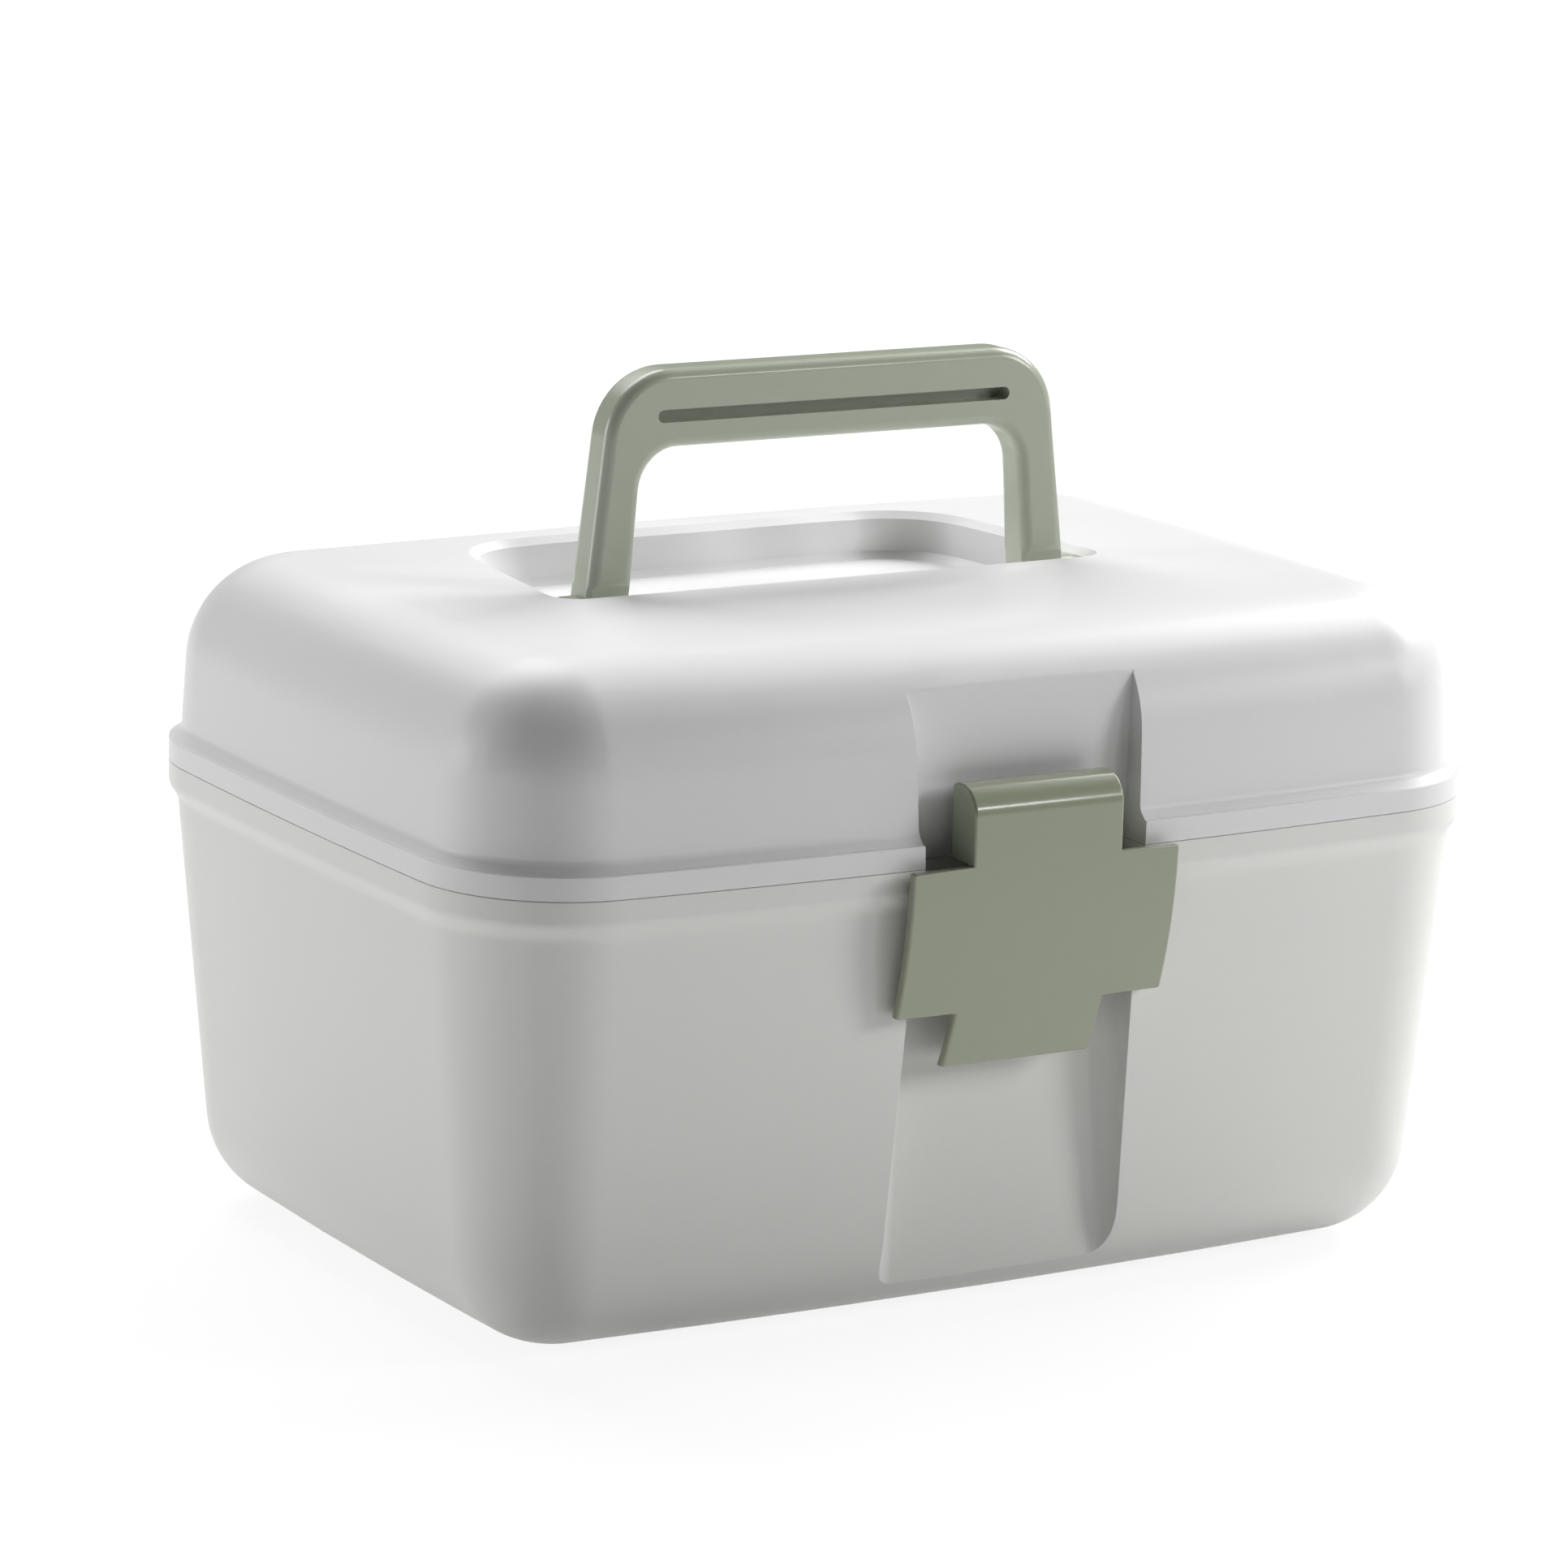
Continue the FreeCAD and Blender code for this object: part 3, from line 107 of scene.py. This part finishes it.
# The photograph's camera, fitted to its edges
CAMERA_PLACE = (-0.692143, -1.157659, 0.400128)
CAMERA_TURN = (77.36842, -1.40203, -30.28617)
CAMERA_LENS = 143.7337


# Shader expressions

class Shade:
    """One output of a node tree, on which arithmetic adds its own nodes."""

    def __init__(self, finish, socket):
        self.finish = finish
        self.socket = socket

    def _math(self, operation, first, second):
        """The two values put through one node of arithmetic."""
        settings = {"operation": operation}
        return self.finish.node("ShaderNodeMath", settings, {0: first, 1: second})

    def __add__(self, other):
        return self._math("ADD", self, other)

    def __radd__(self, other):
        return self._math("ADD", other, self)

    def __sub__(self, other):
        return self._math("SUBTRACT", self, other)

    def __rsub__(self, other):
        return self._math("SUBTRACT", other, self)

    def __mul__(self, other):
        return self._math("MULTIPLY", self, other)

    def __rmul__(self, other):
        return self._math("MULTIPLY", other, self)


class Finish:
    """A named material and the tree behind it."""

    def __init__(self, name):
        self.material = bpy.data.materials.new(name)
        self.material.use_nodes = True
        self.tree = self.material.node_tree
        self.surface = self.tree.nodes["Principled BSDF"]

    def node(self, kind, settings=None, inputs=None, output=0):
        """Adds a node: its settings first, then the values or links of its sockets."""
        made = self.tree.nodes.new(kind)
        for key, value in (settings or {}).items():
            setattr(made, key, value)
        for key, value in (inputs or {}).items():
            self.plug(made.inputs[key], value)
        return Shade(self, made.outputs[output])

    def plug(self, socket, value):
        """Links a shade to a socket, or sets the socket to a plain value."""
        if isinstance(value, Shade):
            self.tree.links.new(value.socket, socket)
        else:
            socket.default_value = value

    def set(self, **values):
        """Sets or links the surface's own sockets, named with underscores for spaces."""
        for name, value in values.items():
            self.plug(self.surface.inputs[name.replace("_", " ")], value)

    def noise(self, place, scale, detail=2.0, stretch=(1, 1, 1)):
        """Noise from 0 to 1 whose features are about 1 / scale metres across."""
        if stretch != (1, 1, 1):
            place = self.node("ShaderNodeMapping", {}, {"Vector": place, "Scale": stretch})
        inputs = {"Vector": place, "Scale": scale, "Detail": detail}
        return self.node("ShaderNodeTexNoise", {}, inputs)

    def blend(self, factor, first, second):
        """A colour between two colours."""
        inputs = {0: factor, 6: first, 7: second}
        return self.node("ShaderNodeMix", {"data_type": "RGBA"}, inputs, output=2)


def tone(colour, factor):
    """A colour made lighter or darker, as a shader colour."""
    return tuple(min(1.0, channel * factor) for channel in colour[:3]) + (1.0,)


def moulded_plastic(name, colour, roughness, grain_depth, waviness=0.35, gloss=0.0):
    """Injection-moulded plastic: faint flow clouds, fine grain, slow waves and a thin coat."""
    finish = Finish(name)
    place = finish.node("ShaderNodeTexCoord", output="Object")
    clouds = finish.noise(place, CLOUD_SCALE, 3)
    flecks = finish.noise(place, FLECK_SCALE, 2)
    mottle = clouds * 0.7 + flecks * 0.3
    finish.set(Base_Color=finish.blend(mottle, tone(colour, 0.965), tone(colour, 1.03)))
    finish.set(Roughness=roughness - 0.05 + mottle * 0.1)
    grain = finish.noise(place, GRAIN_SCALE, 2)
    waves = finish.noise(place, WAVE_SCALE, 1)
    fine = {"Strength": 0.22, "Distance": grain_depth, "Height": grain}
    broad = {"Strength": waviness, "Distance": WAVE_HEIGHT, "Height": waves}
    broad["Normal"] = finish.node("ShaderNodeBump", {}, fine)
    finish.set(Normal=finish.node("ShaderNodeBump", {}, broad))
    finish.set(IOR=1.49, Coat_Weight=gloss, Coat_Roughness=0.1)
    return finish.material


def frosted_plastic(name, colour, roughness):
    """The thinner, slightly milky plastic of the tray."""
    material = moulded_plastic(name, colour, roughness, 0.00003)
    surface = material.node_tree.nodes["Principled BSDF"]
    surface.inputs["Subsurface Weight"].default_value = 0.12
    surface.inputs["Subsurface Radius"].default_value = (0.004, 0.004, 0.004)
    return material


def drawn_steel(name, colour):
    """Drawn steel wire: streaks along the rod and a few dull patches."""
    finish = Finish(name)
    place = finish.node("ShaderNodeTexCoord", output="Object")
    streaks = finish.noise(place, 1500, 3, (0.04, 1, 1))
    patches = finish.noise(place, 160, 2)
    finish.set(Base_Color=finish.blend(streaks, tone(colour, 0.85), tone(colour, 1.08)))
    finish.set(Metallic=1.0, Roughness=0.22 + streaks * 0.14 + patches * 0.08)
    bump = {"Strength": 0.3, "Distance": 0.00002, "Height": streaks}
    finish.set(Normal=finish.node("ShaderNodeBump", {}, bump))
    return finish.material


def coat(piece, material):
    """Gives a piece one material."""
    piece.data.materials.clear()
    piece.data.materials.append(material)


# Modelling helpers

def clear_selection():
    """Leaves edit mode and deselects everything."""
    if bpy.context.object and bpy.context.object.mode != "OBJECT":
        bpy.ops.object.mode_set(mode="OBJECT")
    bpy.ops.object.select_all(action="DESELECT")


def activate(piece):
    """Makes a piece the only one selected and the active one."""
    clear_selection()
    piece.select_set(True)
    bpy.context.view_layer.objects.active = piece


def copy_of(node, name, join_flats=True):
    """A merged copy of a node's solid, its flat faces joined up again if wanted."""
    source = frame["nodes"][node]
    activate(source)
    bpy.ops.object.duplicate()
    piece = bpy.context.object
    piece.name = name
    piece.data.name = name
    activate(piece)
    bpy.ops.object.parent_clear(type="CLEAR_KEEP_TRANSFORM")
    bpy.ops.object.transform_apply(location=True, rotation=True, scale=True)
    bpy.ops.mesh.customdata_custom_splitnormals_clear()
    bpy.ops.object.mode_set(mode="EDIT")
    bpy.ops.mesh.select_all(action="SELECT")
    bpy.ops.mesh.remove_doubles(threshold=MERGE_DISTANCE)
    if join_flats:
        bpy.ops.mesh.dissolve_limited(angle_limit=FLAT_ANGLE, delimit={"NORMAL"})
    bpy.ops.object.mode_set(mode="OBJECT")
    return piece


def select_edges(piece, test):
    """Selects the edges of a piece whose ends pass a test, in edit mode."""
    activate(piece)
    bpy.ops.object.mode_set(mode="EDIT")
    bpy.ops.mesh.select_mode(type="EDGE")
    bpy.ops.mesh.select_all(action="DESELECT")
    bpy.ops.object.mode_set(mode="OBJECT")
    points = [vertex.co for vertex in piece.data.vertices]
    for edge in piece.data.edges:
        edge.select = test(*[points[i] for i in edge.vertices])
    bpy.ops.object.mode_set(mode="EDIT")


def is_level(first, second, levels, axis, slack):
    """Whether both ends of an edge lie at one of some heights along an axis."""
    return any(
        abs(first[axis] - level) < slack and abs(second[axis] - level) < slack
        for level in levels
    )


def round_selected(width, clamp):
    """Rounds the edges now selected in edit mode, and leaves edit mode."""
    bpy.ops.mesh.bevel(
        offset=width, segments=ROUND_SEGMENTS, affect="EDGES", clamp_overlap=clamp
    )
    bpy.ops.object.mode_set(mode="OBJECT")


def soften(piece, width, clamp=True):
    """Rounds every sharp edge of a piece by a small width and shades it smooth."""
    activate(piece)
    bevel = piece.modifiers.new("soft_edges", "BEVEL")
    bevel.width = width
    bevel.segments = SOFT_SEGMENTS
    bevel.limit_method = "ANGLE"
    bevel.angle_limit = SHARP_ANGLE
    bevel.use_clamp_overlap = clamp
    bpy.ops.object.modifier_apply(modifier=bevel.name)
    bpy.ops.object.shade_smooth_by_angle(angle=SMOOTH_ANGLE)
    weigh = piece.modifiers.new("even_shading", "WEIGHTED_NORMAL")
    weigh.keep_sharp = True
    weigh.weight = EVEN_WEIGHT
    bpy.ops.object.modifier_apply(modifier=weigh.name)


def round_levels(piece, levels, width):
    """Rounds a shell's level edges at the given heights, except between its rear corners."""

    def on_level(first, second):
        rear = all(p.y > REAR_Y and abs(p.x) < REAR_REACH_X for p in (first, second))
        return is_level(first, second, levels, 2, 0.02 * MM) and not rear

    select_edges(piece, on_level)
    round_selected(width, clamp=False)


def round_recess_top(piece, width):
    """Rounds the edge over which the lid's dome drops to its flat front panel."""

    def on_top_edge(first, second):
        on_panel = is_level(first, second, (LID_PANEL_Y,), 1, 0.1 * MM)
        return on_panel and abs(first.z - second.z) < 1 * MM and first.z > DOME_FOOT_Z

    select_edges(piece, on_top_edge)
    round_selected(width, clamp=True)


def round_handle_outline(piece, width):
    """Rounds the bevels along the grip and legs of the handle, not its feet or groove."""
    slack = 0.05 * MM

    def on_outline(first, second):
        ends = (first, second)
        in_groove = all(
            abs(p.x) < GROOVE_REACH_X and GROOVE_Z[0] < p.z < GROOVE_Z[1] for p in ends
        )
        above_feet = all(p.z > HANDLE_LEG_Z - slack for p in ends)
        return is_level(first, second, HANDLE_BEVEL_Y, 1, slack) and above_feet and not in_groove

    activate(piece)
    bpy.ops.object.mode_set(mode="EDIT")
    bpy.ops.mesh.select_all(action="SELECT")
    bpy.ops.mesh.bisect(plane_co=(0, 0, HANDLE_LEG_Z), plane_no=(0, 0, 1))
    bpy.ops.object.mode_set(mode="OBJECT")
    select_edges(piece, on_outline)
    round_selected(width, clamp=False)


def finish_piece(piece, node, body, material):
    """Puts a finished piece on its body in place of its node."""
    coat(piece, material)
    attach(piece, body)
    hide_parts(node)


# What a user may change

class CaseLooks(bpy.types.PropertyGroup):
    """Colours and edge softness of the medicine case."""

    base_colour: bpy.props.FloatVectorProperty(
        name="Base colour",
        description="Warm white of the base",
        subtype="COLOR",
        size=3,
        min=0,
        max=1,
        default=(0.79, 0.79, 0.765),
    )
    lid_colour: bpy.props.FloatVectorProperty(
        name="Lid colour",
        description="White of the lid",
        subtype="COLOR",
        size=3,
        min=0,
        max=1,
        default=(0.81, 0.81, 0.815),
    )
    handle_colour: bpy.props.FloatVectorProperty(
        name="Handle colour",
        description="Sage green of the handle",
        subtype="COLOR",
        size=3,
        min=0,
        max=1,
        default=(0.445, 0.48, 0.385),
    )
    latch_colour: bpy.props.FloatVectorProperty(
        name="Latch colour",
        description="Darker sage green of the latch",
        subtype="COLOR",
        size=3,
        min=0,
        max=1,
        default=(0.325, 0.35, 0.25),
    )
    tray_colour: bpy.props.FloatVectorProperty(
        name="Tray colour",
        description="Milky white of the lift-out tray",
        subtype="COLOR",
        size=3,
        min=0,
        max=1,
        default=(0.74, 0.755, 0.75),
    )
    steel_colour: bpy.props.FloatVectorProperty(
        name="Pin colour",
        description="Steel of the hinge and latch pins",
        subtype="COLOR",
        size=3,
        min=0,
        max=1,
        default=(0.60, 0.60, 0.61),
    )
    shell_edge: bpy.props.FloatProperty(
        name="Shell edge rounding",
        description="Width of the small rounding on the sharp edges of the shells",
        default=0.0004,
        min=0,
        max=0.003,
        unit="LENGTH",
    )
    rim_edge: bpy.props.FloatProperty(
        name="Rim rounding",
        description="Width of the rounding along the bevels of both rims",
        default=0.0009,
        min=0,
        max=0.0012,
        unit="LENGTH",
    )
    ledge_edge: bpy.props.FloatProperty(
        name="Ledge rounding",
        description="Width of the rounding on both edges of the ledge over the lid's rim",
        default=0.00028,
        min=0,
        max=0.00029,
        unit="LENGTH",
    )
    recess_edge: bpy.props.FloatProperty(
        name="Recess top rounding",
        description="Width of the rounding where the dome drops to the front panel of the lid",
        default=0.0008,
        min=0,
        max=0.005,
        unit="LENGTH",
    )
    fitting_edge: bpy.props.FloatProperty(
        name="Fitting edge rounding",
        description="Width of the small rounding on the latch, twice the one on the tray",
        default=0.0006,
        min=0,
        max=0.002,
        unit="LENGTH",
    )
    handle_edge: bpy.props.FloatProperty(
        name="Handle edge rounding",
        description="Width of the rounding along the bevels of the handle",
        default=0.0009,
        min=0,
        max=0.0015,
        unit="LENGTH",
    )
    groove_edge: bpy.props.FloatProperty(
        name="Groove edge rounding",
        description="Width of the rounding of the handle's groove and pivots",
        default=0.0004,
        min=0,
        max=0.001,
        unit="LENGTH",
    )
    floor_size: bpy.props.FloatProperty(
        name="Floor size",
        description="Side of the floor that the case stands on",
        default=8.0,
        min=1,
        unit="LENGTH",
    )


class CASE_OT_base_shell(bpy.types.Operator):
    """Dress the base of the case"""

    bl_idname = "case.base_shell"
    bl_label = "Base shell"

    def execute(self, context):
        looks = context.scene.case_looks
        piece = copy_of("base_shell", "base_moulding")
        round_levels(piece, BASE_RIM_Z, looks.rim_edge)
        soften(piece, looks.shell_edge)
        material = moulded_plastic("base_plastic", looks.base_colour, 0.42, 0.00004)
        finish_piece(piece, "base_shell", "base", material)
        return {"FINISHED"}


class CASE_OT_lid_shell(bpy.types.Operator):
    """Dress the lid of the case"""

    bl_idname = "case.lid_shell"
    bl_label = "Lid shell"

    def execute(self, context):
        looks = context.scene.case_looks
        piece = copy_of("lid_shell", "lid_moulding")
        round_recess_top(piece, looks.recess_edge)
        round_levels(piece, LID_LEDGE_Z, looks.ledge_edge)
        round_levels(piece, LID_FLARE_Z, looks.rim_edge)
        soften(piece, looks.shell_edge)
        material = moulded_plastic("lid_plastic", looks.lid_colour, 0.42, 0.00004)
        finish_piece(piece, "lid_shell", "lid", material)
        return {"FINISHED"}


class CASE_OT_handle(bpy.types.Operator):
    """Dress the carrying handle"""

    bl_idname = "case.handle"
    bl_label = "Handle"

    def execute(self, context):
        looks = context.scene.case_looks
        piece = copy_of("handle", "carrying_handle")
        round_handle_outline(piece, looks.handle_edge)
        soften(piece, looks.groove_edge)
        material = moulded_plastic("handle_plastic", looks.handle_colour, 0.3, 0.00003, 0.15, 0.3)
        finish_piece(piece, "handle", "handle", material)
        return {"FINISHED"}


class CASE_OT_latch(bpy.types.Operator):
    """Dress the cross-shaped latch"""

    bl_idname = "case.latch"
    bl_label = "Latch"

    def execute(self, context):
        looks = context.scene.case_looks
        piece = copy_of("latch", "cross_latch")
        soften(piece, looks.fitting_edge, clamp=False)
        material = moulded_plastic("latch_plastic", looks.latch_colour, 0.24, 0.00002, 0.1, 0.5)
        finish_piece(piece, "latch", "latch", material)
        return {"FINISHED"}


class CASE_OT_tray(bpy.types.Operator):
    """Dress the lift-out tray"""

    bl_idname = "case.tray"
    bl_label = "Tray"

    def execute(self, context):
        looks = context.scene.case_looks
        piece = copy_of("inner_tray", "lift_out_tray", join_flats=False)
        soften(piece, looks.fitting_edge / 2)
        material = frosted_plastic("tray_plastic", looks.tray_colour, 0.4)
        finish_piece(piece, "inner_tray", "tray", material)
        return {"FINISHED"}


class CASE_OT_pins(bpy.types.Operator):
    """Give the hinge and latch pins their steel"""

    bl_idname = "case.pins"
    bl_label = "Pins"

    def execute(self, context):
        looks = context.scene.case_looks
        steel = drawn_steel("pin_steel", looks.steel_colour)
        for node in ("hinge_pin_left", "hinge_pin_right", "latch_pin"):
            coat(frame["nodes"][node], steel)
        return {"FINISHED"}


class CASE_OT_stage(bpy.types.Operator):
    """Set the floor, the soft lamps and the camera"""

    bl_idname = "case.stage"
    bl_label = "Stage"

    def execute(self, context):
        looks = context.scene.case_looks
        clear_selection()
        bpy.ops.mesh.primitive_plane_add(size=looks.floor_size, location=(0, 0, -0.0004))
        floor = context.object
        floor.name = "studio_floor"
        coat(floor, white_floor("floor_white"))
        white_world(context.scene)
        for lamp in LAMPS:
            soft_lamp(*lamp)
        photo_camera(context.scene)
        context.scene.view_settings.view_transform = "Standard"
        return {"FINISHED"}


def camera_rays(finish):
    """1 for what the camera, a mirror or glass sees, 0 for the light that falls on the case."""
    seen = finish.node("ShaderNodeLightPath", output="Is Camera Ray")
    for name in ("Is Glossy Ray", "Is Transmission Ray"):
        ray = finish.node("ShaderNodeLightPath", output=name)
        seen = finish.node("ShaderNodeMath", {"operation": "MAXIMUM"}, {0: seen, 1: ray})
    return seen


def white_floor(name):
    """A floor that the camera sees as white, but for the shadow round the foot of the case."""
    finish = Finish(name)
    finish.set(Base_Color=(0.86, 0.86, 0.86, 1), Roughness=0.9)
    finish.set(Specular_IOR_Level=0.0)
    glow = finish.node("ShaderNodeEmission", {}, {"Color": (1, 1, 1, 1), "Strength": 1.1})
    place = finish.node("ShaderNodeTexCoord", output="Object")
    away = finish.node("ShaderNodeVectorMath", {"operation": "LENGTH"}, {0: place}, output=1)
    reach = {"Value": away, "From Min": 0.35, "From Max": 0.9, "To Min": 0.8, "To Max": 1.0}
    share = finish.node("ShaderNodeMapRange", {"interpolation_type": "SMOOTHSTEP"}, reach)
    diffuse = Shade(finish, finish.surface.outputs[0])
    mix = {0: camera_rays(finish) * share, 1: diffuse, 2: glow}
    shown = finish.node("ShaderNodeMixShader", {}, mix)
    finish.plug(finish.tree.nodes["Material Output"].inputs["Surface"], shown)
    return finish.material


def white_world(scene):
    """White behind the case for the camera, and no light from it."""
    world = bpy.data.worlds.new("studio_air")
    world.use_nodes = True
    scene.world = world
    tree = world.node_tree
    back = tree.nodes["Background"]
    back.inputs["Color"].default_value = (1, 1, 1, 1)
    path = tree.nodes.new("ShaderNodeLightPath")
    strength = tree.nodes.new("ShaderNodeMapRange")
    strength.inputs["To Min"].default_value = 0.0
    strength.inputs["To Max"].default_value = 1.0
    tree.links.new(path.outputs["Is Camera Ray"], strength.inputs["Value"])
    tree.links.new(strength.outputs[0], back.inputs["Strength"])


def soft_lamp(name, place, size, power):
    """A square soft lamp that points at the middle of the case."""
    clear_selection()
    bpy.ops.object.light_add(type="AREA", location=place)
    lamp = bpy.context.object
    lamp.name = name
    lamp.data.shape = "SQUARE"
    lamp.data.size = size
    lamp.data.energy = power
    aim = LAMP_TARGET - Vector(place)
    lamp.rotation_euler = aim.to_track_quat("-Z", "Y").to_euler()


def photo_camera(scene):
    """The camera of the photograph: from the front left, a little above."""
    clear_selection()
    bpy.ops.object.camera_add(location=CAMERA_PLACE)
    camera = bpy.context.object
    camera.name = "photo_camera"
    camera.rotation_mode = "XYZ"
    camera.rotation_euler = [math.radians(angle) for angle in CAMERA_TURN]
    camera.data.sensor_fit = "HORIZONTAL"
    camera.data.sensor_width = 36
    camera.data.lens = CAMERA_LENS
    camera.data.clip_end = 40
    scene.camera = camera


class CASE_PT_panel(bpy.types.Panel):
    """Sizes, colours and pieces of the medicine case"""

    bl_idname = "CASE_PT_panel"
    bl_label = "Medicine case"
    bl_space_type = "VIEW_3D"
    bl_region_type = "UI"
    bl_category = "Medicine case"

    def draw(self, context):
        column = self.layout.column()
        for name in CaseLooks.__annotations__:
            column.prop(context.scene.case_looks, name)
        for operator in OPERATORS:
            column.operator(operator.bl_idname)


OPERATORS = (
    CASE_OT_base_shell,
    CASE_OT_lid_shell,
    CASE_OT_handle,
    CASE_OT_latch,
    CASE_OT_tray,
    CASE_OT_pins,
    CASE_OT_stage,
)


def register():
    for thing in (CaseLooks, *OPERATORS, CASE_PT_panel):
        bpy.utils.register_class(thing)
    bpy.types.Scene.case_looks = bpy.props.PointerProperty(type=CaseLooks)


def unregister():
    del bpy.types.Scene.case_looks
    for thing in (CASE_PT_panel, *reversed(OPERATORS), CaseLooks):
        bpy.utils.unregister_class(thing)


def main():
    register()
    bpy.ops.case.base_shell()
    bpy.ops.case.lid_shell()
    bpy.ops.case.handle()
    bpy.ops.case.latch()
    bpy.ops.case.tray()
    bpy.ops.case.pins()
    bpy.ops.case.stage()


if __name__ == "__main__":
    main()
